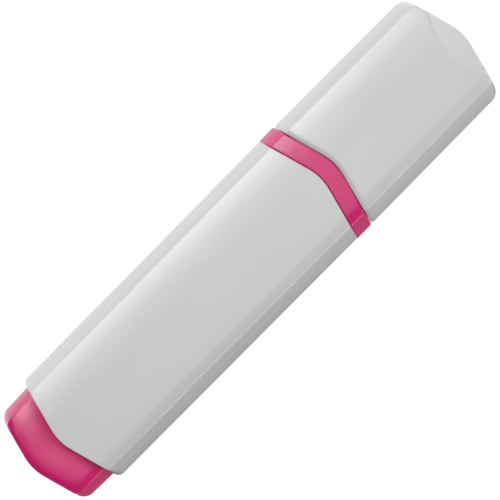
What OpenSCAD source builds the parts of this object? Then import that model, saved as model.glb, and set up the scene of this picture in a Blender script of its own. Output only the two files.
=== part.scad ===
// Flat capped highlighter: a white barrel and cap with a coloured tail plug, collar and nib.
// The pen lies on its back face. X runs along the pen towards the cap, Y across it and Z up.

/* [Outline] */
// Width across the widest edges, at the collar
body_w = 26; // [24:0.5:32]
// Depth between the two flat faces
body_d = 14.5; // [14:0.5:18]
// Width that the barrel loses from the collar to its tail
tail_taper = 0.4; // [0:0.1:1]
// Width that the cap loses from its mouth to its end
cap_taper = 0.3; // [0:0.1:1]
// Width that the tail plug loses over the part that shows
plug_taper = 0.4; // [0:0.1:1]

/* [Lengths on the centre line] */
// Tail plug showing behind the barrel
plug_show = 7.3; // [5:0.1:12]
// Barrel, from its tail point to its front point
barrel_len = 69.8; // [60:0.5:90]
// Collar band between barrel and cap
collar_len = 3.6; // [2:0.1:6]
// Cap, from its mouth to its end
cap_len = 34.2; // [32:0.1:45]

/* [Cross-section] */
// Width of the flat part of each broad face
flat_w = 14.6; // [10:0.1:16]
// Distance between the two creases that border a broad face
crease_w = 20.9; // [19:0.1:22]
// Radius of the shoulder from the flat to the crease
shoulder_r = 8; // [6:0.5:14]
// Radius of the widest edges
edge_r = 2.5; // [1.5:0.1:3.5]
// Trimmed off each widest edge, which leaves a narrow land
edge_trim = 0.08; // [0.04:0.02:0.3]

/* [Chevron ends] */
// Slope of the chevron seams
chevron_angle = 15; // [8:1:20]
// Radius of the chevron's point
chevron_r = 10; // [6:0.5:14]
// Rounding of the barrel's rims
barrel_rim = 0.4; // [0.2:0.1:0.6]
// Rounding of the cap's mouth rim
mouth_rim = 0.5; // [0.2:0.1:0.6]
// Rounding of the cap's end
cap_rim = 0.8; // [0.4:0.1:1]
// Rounding of the tail plug's end
plug_rim = 1; // [0.4:0.1:1.2]
// Corner radius of the barrel's tail
barrel_corner = 1; // [0.5:0.1:2]
// Corner radius of the cap's end and of the plug's end
end_corner = 1.8; // [1:0.1:3]

/* [Thumb scoop in the cap's end] */
// Length of the scoop on the centre line
scoop_len = 4.4; // [3:0.1:6]
// Radius of the scoop's curved border
scoop_r = 13.4; // [10:0.1:20]
// Step down at the border
scoop_step = 0.25; // [0.1:0.05:0.4]
// Slope of the scoop's floor
scoop_slope = 12; // [6:1:14]

/* [Walls and fits] */
// Wall of the barrel
wall = 1.25; // [1:0.05:1.5]
// Wall of the cap
cap_wall = 1.25; // [1:0.05:1.5]
// Wall of the tail plug's and nib section's skirts
skirt_wall = 1.1; // [0.8:0.05:1.3]
// End wall of the cap and of the tail plug
end_wall = 1.6; // [1.2:0.1:2.2]
// Clearance of a pressed fit
press_gap = 0.05; // [0.02:0.01:0.1]
// Clearance between the cap and the neck that it slides on
cap_gap = 0.2; // [0.15:0.05:0.3]
// Seam between the barrel and the collar
seam_gap = 0.12; // [0.05:0.01:0.3]
// Gap between the collar and the cap's mouth
mouth_gap = 0.2; // [0.1:0.05:0.4]
// How far the collar stands proud of the barrel's sides
collar_proud = 0.07; // [0.02:0.01:0.07]

/* [Tail plug] */
// Length of the plug's skirt inside the barrel
plug_skirt = 9; // [6:0.5:14]
// Thickness of the cross ribs that stop the ink core
plug_rib = 1.2; // [0.8:0.1:2]

/* [Nib section] */
// Length of the section's skirt inside the barrel
section_skirt = 11; // [8:0.5:16]
// Length of the neck that carries the cap
neck_len = 5.3; // [4:0.1:7]
// Height of the snap ridge on the neck
ridge_h = 0.12; // [0.05:0.01:0.14]
// Width of the snap ridge
ridge_w = 1; // [0.6:0.1:1.5]
// Thickness of the bulkhead at the front of the neck
bulkhead = 1.4; // [1:0.1:2]
// Length of the snout in front of the neck
snout_len = 12; // [10:0.5:14]
// Length of the snout's root fillet
snout_root = 0.9; // [0.6:0.1:1.2]
// Length of the land that the inner cap seals on
land_len = 5; // [4:0.5:6]
// Wall of the snout's tip at the nib's corners
snout_wall = 0.8; // [0.6:0.05:1]
// Length of the nib guide behind the bulkhead
guide_len = 9; // [6:0.5:12]
// Wall of the nib guide at the nib's corners
guide_wall = 0.7; // [0.5:0.05:0.8]

/* [Nib] */
// Width of the chisel nib
nib_w = 5; // [4:0.1:5.4]
// Thickness of the chisel nib
nib_d = 3.5; // [2.5:0.1:3.8]
// Radius of the nib's long edges
nib_edge = 0.7; // [0.3:0.1:1]
// Nib showing in front of the snout
nib_show = 8; // [5:0.5:9]
// Slant of the writing edge
nib_slant = 32; // [15:1:40]
// Thickness left at the writing edge
nib_edge_d = 1.4; // [0.8:0.1:2]
// Length of the two chisel faces
chisel_len = 4.5; // [3:0.1:6]
// Nib pushed into the ink core
nib_in_core = 8; // [5:0.5:12]
// Clearance round the nib
nib_gap = 0.05; // [0.02:0.01:0.1]

/* [Ink core] */
// Gap between the nib guide and the ink core
core_front_gap = 0.6; // [0.3:0.1:1.5]
// Gap between the tail plug's ribs and the ink core
core_tail_gap = 0.3; // [0.3:0.1:1]
// How far the core reaches into the tail plug's skirt, past the skirt's mouth
core_in_plug = 6; // [3:0.5:10]
// Clearance round the wrapped core
core_gap = 0.15; // [0.1:0.05:0.3]
// Thickness of the film wrapped round the core
film = 0.15; // [0.1:0.01:0.25]
// Clearance between core and film
film_gap = 0.02; // [0.01:0.01:0.05]
// Outer radius of the breather tube
breather_r = 0.7; // [0.5:0.05:0.9]
// Bore radius of the breather tube
breather_bore = 0.45; // [0.3:0.05:0.6]
// How far the breather tube stands out of each end of the core
breather_out = 0.25; // [0.1:0.05:0.25]
// Thickness of the barrel's ribs that hold the core
core_rib = 0.9; // [0.7:0.1:1.2]
// Distance of those ribs from the centre line
core_rib_y = 3; // [2.5:0.1:3.5]

/* [Inner cap] */
// Wall of the inner cap's tube
inner_wall = 0.8; // [0.6:0.05:1]
// Clearance of the seal on the snout's land
seal_gap = 0.05; // [0.02:0.01:0.1]
// Clearance between the inner cap's tube and the cap
inner_gap = 0.15; // [0.1:0.05:0.3]
// Thickness of the inner cap's flange
flange_t = 1.2; // [0.8:0.1:2]
// Gap between the neck's front and the flange
flange_gap = 0.6; // [0.3:0.1:1.2]
// Step in the cap's wall that the flange rests on
ledge = 0.3; // [0.2:0.05:0.5]
// Room in front of the nib
nib_room = 2; // [1:0.1:4]

/* [Hidden] */
$fn = 96;

white = "#e9eaea";
pink = "#d0256f";
felt_pink = "#ee5fa0";
core_pink = "#f08cb8";
film_clear = "#eef2f4";
liner_white = "#f4f4f0";

// Steps in the arcs of the outlines
arc_steps = 6;
// Margin by which a cutting shape passes the face that it cuts
over = 1;
// Angle at which the rounding of the cap's mouth leaves the broad faces
flare_angle = 15;

// Places along the axis, at the centre line
total_len = plug_show + barrel_len + seam_gap + collar_len + mouth_gap + cap_len;
x_tail = -total_len / 2;
x_barrel = x_tail + plug_show;
x_front = x_barrel + barrel_len;
x_collar = x_front + seam_gap + collar_len;
x_mouth = x_collar + mouth_gap;
x_end = x_mouth + cap_len;
x_neck = x_collar + neck_len;
x_land = x_neck + snout_root;
x_snout = x_neck + snout_len;
x_nib_tip = x_snout + nib_show;
x_guide = x_neck - bulkhead - guide_len;
x_core_front = x_guide - core_front_gap;
x_nib_rear = x_core_front - nib_in_core;
x_skirt = x_front - section_skirt;
x_plug_mouth = x_barrel + plug_skirt;
x_core_tail = x_plug_mouth - core_in_plug;
x_flange = x_neck + flange_gap;
x_ledge = x_flange + flange_t;
x_inner_end = x_nib_tip + nib_room;
axis_z = body_d / 2;

// Insets of each nested outline, measured from the outside of the pen
skirt_inset = wall + press_gap;
hollow_inset = skirt_inset + skirt_wall;
neck_inset = cap_wall + cap_gap;
neck_hollow_inset = neck_inset + skirt_wall;
flange_inset = cap_wall + press_gap;
deep_inset = cap_wall + ledge;

// Round sizes that follow from the depth that is left inside
film_r = axis_z - hollow_inset - core_gap;
core_r = film_r - film - film_gap;
inner_cap_r = axis_z - deep_inset - inner_gap;
seal_r = inner_cap_r - inner_wall;
land_r = seal_r - seal_gap;
nib_corner_r = norm([nib_w / 2 - nib_edge, nib_d / 2 - nib_edge]) + nib_edge;
snout_tip_r = nib_corner_r + snout_wall;
guide_r = nib_corner_r + guide_wall;
breather_y = core_r - breather_r - film_gap;

// The section's shoulder centre, its crease and the normal angle of its side facet
edge_y = body_w / 2 + edge_trim - edge_r;
shoulder_y = flat_w / 2;
shoulder_z = axis_z - shoulder_r;
crease_y = crease_w / 2;
crease_z = shoulder_z + sqrt(shoulder_r ^ 2 - (crease_y - shoulder_y) ^ 2);
crease_off = crease_y - edge_y;
facet_angle = asin(edge_r / norm([crease_off, crease_z])) - atan2(crease_off, crease_z);
facet_reach = cos(facet_angle) * edge_y + edge_r;

// Points on a circle, from one angle to another
function arc(centre, r, from, to) =
    [
        for (i = [0:arc_steps])
            let (angle = from + (to - from) * i / arc_steps)
            centre + r * [cos(angle), sin(angle)]
    ];

// A quarter of the pen's section, inset by d, from the middle of the flat to the widest edge
function quarter_section(d) =
    let (
        r = shoulder_r - d,
        facet_off = facet_reach - d - (cos(facet_angle) * shoulder_y + sin(facet_angle) * shoulder_z),
        crease_angle = facet_angle + acos(facet_off / r),
        edge = edge_r > d
            ? arc([edge_y, 0], edge_r - d, facet_angle, 0)
            : [[(facet_reach - d) / cos(facet_angle), 0]]
    )
    concat(arc([shoulder_y, shoulder_z], r, 90, crease_angle), edge);

// The whole section, inset by d, as Y and Z round the axis
function section(d) =
    let (
        q = quarter_section(d),
        n = len(q),
        upper = concat(q, [for (i = [n - 1:-1:0]) if (q[i][1] > 0) [q[i][0], -q[i][1]]])
    )
    concat(upper, [for (i = [len(upper) - 1:-1:0]) if (upper[i][0] > 0) [-upper[i][0], upper[i][1]]]);

// Half the pen's width at a place along the axis
function half_width(x) =
    lookup(x, [
        [x_tail, (body_w - tail_taper - plug_taper) / 2],
        [x_barrel, (body_w - tail_taper) / 2],
        [x_collar, body_w / 2],
        [x_end, (body_w - cap_taper) / 2]
    ]);

// The pen's outline seen from the front, inset by d, with its ends left long for the chevrons
function plan(d) =
    let (
        xs = [x_tail - over, x_tail, x_barrel, x_collar, x_end, x_end + over],
        side = [for (x = xs) [x, half_width(x) - d]]
    )
    concat(side, [for (i = [len(side) - 1:-1:0]) [side[i][0], -side[i][1]]]);

// Where a chevron whose point is at x reaches the distance y from the centre line
function chevron_x(x, y) =
    x + chevron_r * (1 / cos(chevron_angle) - 1) - abs(y) * tan(chevron_angle);

// How far behind a chevron's point its corners, rounded to r, meet the sides
function corner_back(r) = r * tan(45 - chevron_angle / 2) - chevron_x(0, body_w / 2);

// Stands a section up along the axis, from one place to another
module along_axis(from, to) {
    translate([from, 0, axis_z]) rotate([90, 0, 90]) linear_extrude(to - from) children();
}

// The pen's full envelope, inset by d all round, between two places on the axis
module envelope(d, from = x_tail - over, to = x_end + over, side_inset = undef) {
    intersection() {
        along_axis(from, to) polygon(section(d));
        translate([0, 0, -over]) linear_extrude(body_d + 2 * over)
            polygon(plan(is_undef(side_inset) ? d : side_inset));
    }
}

// Side view of a chevron edge that lies at u = 0, with rims rounded where faces inset by low meet it
function rim_profile(inner, rim, low) =
    concat(
        [[inner, -over], [-rim, -over]],
        arc([-rim, low + rim], rim, -90, 0),
        arc([-rim, body_d - low - rim], rim, 0, 90),
        [[-rim, body_d + over], [inner, body_d + over]]
    );

// The same edge for cutting a hollow chevron, flared so that the rims it leaves are rounded
function flare_profile(inner, rim) =
    let (
        low = arc([rim, rim], rim, 270 - flare_angle, 180),
        reach = low[0][0] + (low[0][1] + over) / tan(flare_angle)
    )
    concat(
        [[inner, -over], [reach, -over]],
        low,
        [for (i = [len(low) - 1:-1:0]) [low[i][0], body_d - low[i][1]]],
        [[reach, body_d + over], [inner, body_d + over]]
    );

// Everything behind a chevron edge whose point is at x, swept round the point and along both arms
module chevron_sweep(x, arm_profile, point_profile, rim) {
    arm = body_w;
    translate([x - chevron_r, 0, 0]) {
        for (side = [0, 1]) mirror([0, side, 0]) rotate(chevron_angle)
            translate([chevron_r, arm, 0]) rotate([90, 0, 0]) linear_extrude(arm) polygon(arm_profile);
        rotate(-chevron_angle) rotate_extrude(angle = 2 * chevron_angle)
            translate([chevron_r, 0]) polygon(point_profile);
        translate([0, 0, -over]) cylinder(r = chevron_r - 2 * rim, h = body_d + 2 * over);
    }
}

// Solid behind a chevron edge, with the rims of faces inset by low rounded
module chevron_block(x, rim, low = 0) {
    chevron_sweep(x, rim_profile(-2 * total_len, rim, low), rim_profile(-chevron_r, rim, low), rim);
}

// Cutter that leaves a hollow chevron with rounded rims
module chevron_cutter(x, rim) {
    chevron_sweep(x, flare_profile(-2 * total_len, rim), flare_profile(-chevron_r, rim), rim);
}

// Rounds the two plan corners where a chevron with its point at x meets sides that are half_w away
module corner_cutters(x, half_w, r) {
    corner_x = chevron_x(x, half_w);
    centre = [corner_x - r * tan(45 - chevron_angle / 2), half_w - r];
    normal = [cos(chevron_angle), sin(chevron_angle)];
    round_edge = arc(centre, r, 90, chevron_angle);
    outside = [centre + (r + over) * normal, [corner_x + r, half_w + over], [centre[0], half_w + over]];
    for (side = [0, 1]) mirror([0, side, 0]) translate([0, 0, -over])
        linear_extrude(body_d + 2 * over) polygon(concat(round_edge, outside));
}

// A chevron end with rounded rims and corners, pointing along +X
module end_block(x, rim, half_w, corner, low = 0) {
    difference() {
        chevron_block(x, rim, low);
        corner_cutters(x, half_w, corner);
    }
}

// Turns what is drawn for the cap end round to face the tail
module facing_tail() {
    mirror([1, 0, 0]) children();
}

// A solid of revolution about the pen's axis, from points of place along the axis and radius
module about_axis(points) {
    translate([0, 0, axis_z]) rotate([90, 0, 90]) rotate_extrude()
        polygon([for (p = points) [p[1], p[0]]]);
}

// The nib's cross-section, grown by d
module nib_outline(d) {
    r = nib_edge + d;
    y = nib_w / 2 + d - r;
    z = nib_d / 2 + d - r;
    polygon(concat(
        arc([y, z], r, 0, 90),
        arc([-y, z], r, 90, 180),
        arc([-y, -z], r, 180, 270),
        arc([y, -z], r, 270, 360)
    ));
}

// The channel that the nib runs in
module nib_channel(from, to) {
    along_axis(from, to) nib_outline(nib_gap);
}

// White tube with chevron ends and four long ribs that hold the ink core
module barrel() {
    tail_half_w = half_width(x_barrel + corner_back(barrel_corner));
    color(white) {
        difference() {
            intersection() {
                envelope(0);
                chevron_block(x_front, barrel_rim);
                facing_tail() end_block(-x_barrel, barrel_rim, tail_half_w, barrel_corner);
            }
            envelope(wall);
        }
        intersection() {
            envelope(wall / 2, x_plug_mouth + over, x_skirt - over);
            for (y = [-1, 1], z = [-1, 1]) core_rib_bar(y, z);
        }
    }
}

// One rib, from the inside of the barrel's broad wall down to the wrapped core
module core_rib_bar(y, z) {
    reach = film_r + core_gap;
    tip = sqrt(reach ^ 2 - (core_rib_y - core_rib / 2) ^ 2);
    translate([x_tail, y * core_rib_y - core_rib / 2, axis_z + (z > 0 ? tip : -axis_z)])
        cube([total_len, core_rib, axis_z - tip]);
}

// Coloured plug that closes the barrel's tail, hollow, with cross ribs that stop the ink core
module tail_plug() {
    inner_x = x_tail + end_wall;
    end_half_w = half_width(x_tail + corner_back(end_corner)) - skirt_inset;
    color(pink) {
        difference() {
            intersection() {
                envelope(skirt_inset, x_tail - over, x_plug_mouth);
                facing_tail() end_block(-x_tail, plug_rim, end_half_w, end_corner, skirt_inset);
            }
            intersection() {
                envelope(hollow_inset);
                facing_tail() chevron_block(-inner_x, plug_rim, hollow_inset);
            }
        }
        intersection() {
            envelope(hollow_inset - skirt_wall / 2, x_tail + end_wall / 2, x_core_tail - core_tail_gap);
            facing_tail() chevron_block(-x_tail - end_wall / 2, plug_rim, skirt_inset);
            for (turn = [0, 90]) translate([0, 0, axis_z]) rotate([turn, 0, 0])
                cube([2 * total_len, plug_rib, 2 * core_r], center = true);
        }
    }
}

// Coloured section: a skirt in the barrel, the collar that shows, the cap's neck and the snout
module nib_section() {
    color(pink) difference() {
        union() {
            envelope(skirt_inset, x_skirt, x_front);
            intersection() {
                envelope(0, x_skirt, x_neck, -collar_proud);
                collar_band();
            }
            envelope(neck_inset, x_front, x_neck);
            envelope(neck_inset - ridge_h, x_neck - 2 * ridge_w, x_neck - ridge_w);
            snout();
        }
        difference() {
            envelope(hollow_inset, x_skirt - over, x_front);
            guide_tube();
        }
        difference() {
            envelope(neck_hollow_inset, x_front - over, x_neck - bulkhead);
            guide_tube();
        }
        nib_channel(x_skirt, x_snout + over);
    }
}

// The band between the barrel's front chevron and the cap's mouth
module collar_band() {
    difference() {
        chevron_block(x_collar, collar_proud / 2);
        chevron_block(x_front + seam_gap, collar_proud / 2);
    }
}

// Stepped snout with a root fillet, a sealing land and a tapered nose
module snout() {
    root = arc([x_land, land_r + snout_root], snout_root, 180, 270);
    nose = land_r - snout_tip_r;
    about_axis(concat(
        [[x_neck - bulkhead, 0], [x_neck - bulkhead, land_r + snout_root]],
        root,
        [[x_land + land_len, land_r], [x_snout - nose / 2, snout_tip_r + nose / 4]],
        [[x_snout, snout_tip_r], [x_snout, 0]]
    ));
}

// Tube behind the bulkhead that leads the nib to the ink core
module guide_tube() {
    about_axis([[x_guide, 0], [x_guide, guide_r], [x_neck, guide_r], [x_neck, 0]]);
}

// Chisel nib of bonded fibre, pointed at the rear where it enters the ink core
module nib() {
    color(felt_pink) intersection() {
        along_axis(x_nib_rear, x_nib_tip) nib_outline(0);
        translate([0, 0, axis_z - nib_d]) linear_extrude(2 * nib_d) polygon(nib_front_view());
        translate([0, nib_w, axis_z]) rotate([90, 0, 0]) linear_extrude(2 * nib_w)
            polygon(nib_side_view());
    }
}

// The nib seen on its broad face, with the slanted writing edge
function nib_front_view() =
    let (
        y = nib_w / 2,
        heel = x_nib_tip - nib_w * tan(nib_slant)
    )
    [
        [x_nib_rear, -y - over], [heel, -y - over], [heel, -y],
        [x_nib_tip, y], [x_nib_tip, y + over], [x_nib_rear, y + over]
    ];

// The nib seen on its narrow side, with the two chisel faces and the tapered rear
function nib_side_view() =
    let (
        z = nib_d / 2,
        clear = z + over,
        edge = nib_edge_d / 2
    )
    [
        [x_nib_rear, -z / 2], [x_nib_rear + z, -z], [x_nib_rear + z, -clear],
        [x_nib_tip - chisel_len, -clear], [x_nib_tip - chisel_len, -z],
        [x_nib_tip, -edge], [x_nib_tip, edge],
        [x_nib_tip - chisel_len, z], [x_nib_tip - chisel_len, clear],
        [x_nib_rear + z, clear], [x_nib_rear + z, z], [x_nib_rear, z / 2]
    ];

// Fibre core that holds the ink, with a pocket for the nib and a groove for the breather tube
module ink_core() {
    groove = breather_r + film_gap;
    length = x_core_front - x_core_tail;
    color(core_pink) difference() {
        about_axis([[x_core_tail, 0], [x_core_tail, core_r], [x_core_front, core_r], [x_core_front, 0]]);
        nib_channel(x_nib_rear - nib_gap, x_core_front + over);
        about_breather(groove, x_core_tail - over, x_core_front + over);
        translate([x_core_tail - over, -core_r - over, axis_z - groove])
            cube([length + 2 * over, core_r + over - breather_y, 2 * groove]);
    }
}

// A round bar on the breather tube's own line, beside the axis
module about_breather(r, from, to) {
    translate([from, -breather_y, axis_z]) rotate([0, 90, 0]) cylinder(r = r, h = to - from);
}

// Film wrapped round the ink core
module core_film() {
    bore = core_r + film_gap;
    color(film_clear) about_axis([
        [x_core_tail, bore], [x_core_tail, film_r], [x_core_front, film_r], [x_core_front, bore]
    ]);
}

// Thin tube along the core that lets air back in
module breather_tube() {
    from = x_core_tail - breather_out;
    to = x_core_front + breather_out;
    color(film_clear) difference() {
        about_breather(breather_r, from, to);
        about_breather(breather_bore, from - over, to + over);
    }
}

// White cap: a shell with a chevron mouth and end, a ledge for the inner cap and two thumb scoops
module cap_shell() {
    end_half_w = half_width(x_end - corner_back(end_corner));
    color(white) difference() {
        intersection() {
            envelope(0);
            end_block(x_end, cap_rim, end_half_w, end_corner);
        }
        chevron_cutter(x_mouth, mouth_rim);
        for (side = [0, 1]) translate([0, 0, side * body_d]) mirror([0, 0, side]) scoop(0);
        envelope(cap_wall, x_front, x_ledge);
        difference() {
            intersection() {
                envelope(deep_inset, x_ledge - over, x_end);
                chevron_block(x_end - end_wall, cap_rim, deep_inset);
            }
            for (side = [0, 1]) translate([0, 0, side * body_d]) mirror([0, 0, side]) scoop(deep_inset);
        }
    }
}

// A thumb scoop in the back face of the cap's end, grown by d for the wall that follows it
module scoop(d) {
    x = x_end - scoop_len;
    intersection() {
        translate([x + scoop_r, 0, -over]) cylinder(r = scoop_r + d, h = body_d);
        translate([x - d, 0, scoop_step + d]) rotate([0, -scoop_slope, 0])
            translate([-over, -body_w, -body_d]) cube([2 * scoop_r, 2 * body_w, body_d]);
    }
}

// Inner cap that seals on the snout: a closed tube with a flange that rests on the cap's ledge
module inner_cap() {
    dome = inner_wall;
    lead = inner_wall / 2;
    color(liner_white) difference() {
        union() {
            envelope(flange_inset, x_flange, x_ledge);
            about_axis([
                [x_flange, 0], [x_flange, inner_cap_r], [x_inner_end, inner_cap_r],
                [x_inner_end + dome, inner_cap_r - dome], [x_inner_end + dome, 0]
            ]);
        }
        about_axis([
            [x_flange - over, 0], [x_flange - over, seal_r + lead], [x_flange, seal_r + lead],
            [x_flange + lead, seal_r], [x_inner_end, seal_r], [x_inner_end, 0]
        ]);
    }
}

barrel();
tail_plug();
nib_section();
nib();
ink_core();
core_film();
breather_tube();
cap_shell();
inner_cap();
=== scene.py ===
import math

import bpy
import numpy as np
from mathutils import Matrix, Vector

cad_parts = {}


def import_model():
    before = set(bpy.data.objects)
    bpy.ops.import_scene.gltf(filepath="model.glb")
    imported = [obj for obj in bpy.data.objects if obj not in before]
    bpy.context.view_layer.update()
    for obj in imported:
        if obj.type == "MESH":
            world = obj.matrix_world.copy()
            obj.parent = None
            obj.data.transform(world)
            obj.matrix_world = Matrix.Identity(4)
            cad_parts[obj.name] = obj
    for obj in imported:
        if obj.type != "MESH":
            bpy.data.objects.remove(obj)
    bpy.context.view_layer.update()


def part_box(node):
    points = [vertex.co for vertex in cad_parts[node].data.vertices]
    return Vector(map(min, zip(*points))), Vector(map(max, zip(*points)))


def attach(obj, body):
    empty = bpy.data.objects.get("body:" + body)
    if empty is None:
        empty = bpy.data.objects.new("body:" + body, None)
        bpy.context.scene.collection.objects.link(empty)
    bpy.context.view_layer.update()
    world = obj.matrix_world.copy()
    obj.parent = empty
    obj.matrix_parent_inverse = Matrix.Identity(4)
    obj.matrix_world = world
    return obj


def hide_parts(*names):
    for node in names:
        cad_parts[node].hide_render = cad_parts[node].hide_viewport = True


# Looks of the flat capped highlighter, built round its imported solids.
# Every new piece is a loft: rows of closed outlines carried along the pen's axis. A row is the
# pen's flattened hexagon, a circle or the nib's rounded rectangle.
# Lengths are millimetres until put() writes a mesh in metres. The studio at the end is in metres.

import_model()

MM = 0.001


def low(node):
    """The lowest corner of a solid's box, in millimetres."""
    return np.array(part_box(node)[0]) / MM


def high(node):
    """The highest corner of a solid's box, in millimetres."""
    return np.array(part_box(node)[1]) / MM


# Seams on the broad faces, a little wider than the solids' own. On the sides the collar's rims
# move out by SIDE_CLOSE and nearly shut them.
SEAM_GAP = 0.21
MOUTH_GAP = 0.25
SIDE_CLOSE = 0.17
COLLAR_LEN = 3.43
COLLAR_PROUD = 0.06

# How far the plug's end and the barrel's front stay inside their solids' boxes
TAIL_IN = 0.1
FRONT_IN = 0.06

# From the collar to the neck's end, which is where the solid has it
NECK_LEN = 5.44

# Walls, gaps and hidden lengths, as the part's source has them
WALL = 1.25
CAP_WALL = 1.25
SKIRT_WALL = 1.1
END_WALL = 1.6
SNOUT_WALL = 0.8
GUIDE_WALL = 0.7
LINER_WALL = 0.8
BULKHEAD = 1.4
LEDGE = 0.3
PRESS_GAP = 0.05
CAP_GAP = 0.2
SEAL_GAP = 0.05
LINER_GAP = 0.15
CORE_END_GAP = 0.3
SNOUT_ROOT = 0.9
LAND_LEN = 5.0
GUIDE_LEN = 9.0
FLANGE_LEN = 1.2
CORE_IN_PLUG = 6.0
RIDGE_H = 0.12
RIDGE_W = 1.0

# Insets of the nested outlines, from the outside of the pen
SKIRT_INSET = WALL + PRESS_GAP
HOLLOW_INSET = SKIRT_INSET + SKIRT_WALL
NECK_INSET = CAP_WALL + CAP_GAP
NECK_HOLLOW_INSET = NECK_INSET + SKIRT_WALL
FLANGE_INSET = CAP_WALL + PRESS_GAP
DEEP_INSET = CAP_WALL + LEDGE

# Places along the axis, at the centre line
X_TAIL = low("tail_plug")[0] + TAIL_IN
X_PLUG_FLOOR = X_TAIL + END_WALL
X_PLUG_MOUTH = high("tail_plug")[0]
X_BARREL = low("barrel")[0]
X_FRONT = high("barrel")[0] - FRONT_IN
X_SKIRT = low("nib_section")[0]
X_SEAM = X_FRONT + SEAM_GAP
X_COLLAR = X_SEAM + COLLAR_LEN
X_MOUTH = X_COLLAR + MOUTH_GAP
X_NECK = X_COLLAR + NECK_LEN
X_BULKHEAD = X_NECK - BULKHEAD
X_GUIDE = X_BULKHEAD - GUIDE_LEN
X_LAND = X_NECK + SNOUT_ROOT
X_SNOUT = high("nib_section")[0]
X_FLANGE = low("inner_cap")[0]
X_LEDGE = X_FLANGE + FLANGE_LEN
X_DOME = high("inner_cap")[0]
X_NIB_REAR = low("nib")[0]
X_NIB_TIP = high("nib")[0]
X_CORE_TAIL = low("ink_core")[0]
X_CORE_FRONT = high("ink_core")[0]
X_END = high("cap_shell")[0]
X_CAVITY = X_END - END_WALL
AXIS_Z = high("barrel")[2] / 2

# The section: a broad face with a slight crown, round shoulders, a crease and bowed side facets.
# The crown falls by a fourth power, and the shoulder takes over its slope.
HALF_D = AXIS_Z
FLAT_Y = 7.3
CROWN = 0.15
CREASE_Y = 10.6
CREASE_R = 0.6
PLUG_CREASE_Y = 9.95
PLUG_CREASE_R = SKIRT_INSET + CREASE_R
SHOULDER_R = 10.0
EDGE_R = 2.5
FACET_BOW = 0.16
LEAST_R = 0.03
LEAN = math.atan2(4 * CROWN, FLAT_Y)
SHOULDER_Y = FLAT_Y - SHOULDER_R * math.sin(LEAN)
SHOULDER_Z = HALF_D - CROWN - SHOULDER_R * math.cos(LEAN)

# Half the pen's width at four places, and from where to where a broad face turns into a side
WIDEST = 13.0
WIDTH_AT = [X_TAIL, X_BARREL, X_COLLAR, X_END]
HALF_WIDTHS = [12.6, 12.8, WIDEST, 12.85]
SIDE_FROM = 9.6
SIDE_TO = 12.4

# Chevron seams
CHEVRON = math.radians(15)
CHEVRON_R = 10.0

# Rims. A pair holds the value on the broad faces and the value on the sides.
BARREL_TAIL_R = (0.15, 1.0)
BARREL_FRONT_R = 0.1
BARREL_LIP_R = 0.15
PLUG_END_R = (1.4, 1.8)
PLUG_END_DEEP = (0.6, 0.95)
PLUG_FLOOR_R = 0.9
SKIRT_RIM = 0.3
HOLLOW_RIM = 0.1
COLLAR_REAR_R = 0.12
COLLAR_FRONT_R = (0.16, 0.4)
NECK_RIM = 0.55
CAP_END_R = (0.45, 1.75)
CAP_CAVITY_R = 0.8
CAP_LIP_R = 0.18

# The plug's shown part rises to a crest and falls to both ends, and runs on under the barrel's lip
PLUG_CREST = 2.4
PLUG_CROWN = 0.2
UNDER_LIP = 0.1

# Bevel round the cap's mouth
MOUTH_LEN = 1.0
MOUTH_DROP = 0.3
MOUTH_R = 0.06

# Thumb scoop in the end of the cap's broad faces
SCOOP_LEN = 4.8
SCOOP_R = 13.2
SCOOP_STEP = 0.33
SCOOP_SLOPE = math.tan(math.radians(12))
SCOOP_WALL = 0.85
SCOOP_ROOM = 1.2

# Nib
NIB_W = 5.0
NIB_D = 3.5
NIB_CORNER = 0.7
NIB_GAP = 0.05
NIB_SLANT = math.tan(math.radians(32))
NIB_EDGE_D = 1.4
CHISEL_LEN = 4.5
NIB_REACH = math.hypot(NIB_W / 2 - NIB_CORNER, NIB_D / 2 - NIB_CORNER) + NIB_CORNER

# Round sizes about the axis
LINER_R = AXIS_Z - DEEP_INSET - LINER_GAP
SEAL_R = LINER_R - LINER_WALL
LAND_R = SEAL_R - SEAL_GAP
ROOT_R = LAND_R + SNOUT_ROOT
TIP_R = NIB_REACH + SNOUT_WALL
GUIDE_R = NIB_REACH + GUIDE_WALL

# Ink core, its film and the tube beside it
CORE_R = high("ink_core")[2] - AXIS_Z
FILM_R = high("core_film")[2] - AXIS_Z
FILM_GAP = 0.02
TUBE_R = high("breather_tube")[2] - AXIS_Z
TUBE_Y = -low("breather_tube")[1] - TUBE_R
TUBE_BORE = 0.45
TUBE_GAP = 0.02

# Ribs in the barrel: half their thickness, their distance from the centre line and from the axis,
# and how far they stop short of plug and skirt
BARREL_RIB = 0.45
BARREL_RIB_Y = 3.0
BARREL_RIB_TIP = 4.115
BARREL_RIB_SHORT = 1.0

# Ribs in the plug: half their thickness, and where they start behind its end
PLUG_RIB = 0.6
PLUG_RIB_ROOT = 1.0

# Share of a row left round the point that closes a skin, and the angle of a hard edge
POLE = 0.02
HARD_EDGE = math.radians(40)


# Outlines

def smooth(a, b, v):
    """Rises from 0 at a to 1 at b along the curve 3t^2 - 2t^3."""
    t = np.clip((v - a) / (b - a), 0, 1)
    return t * t * (3 - 2 * t)


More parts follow.
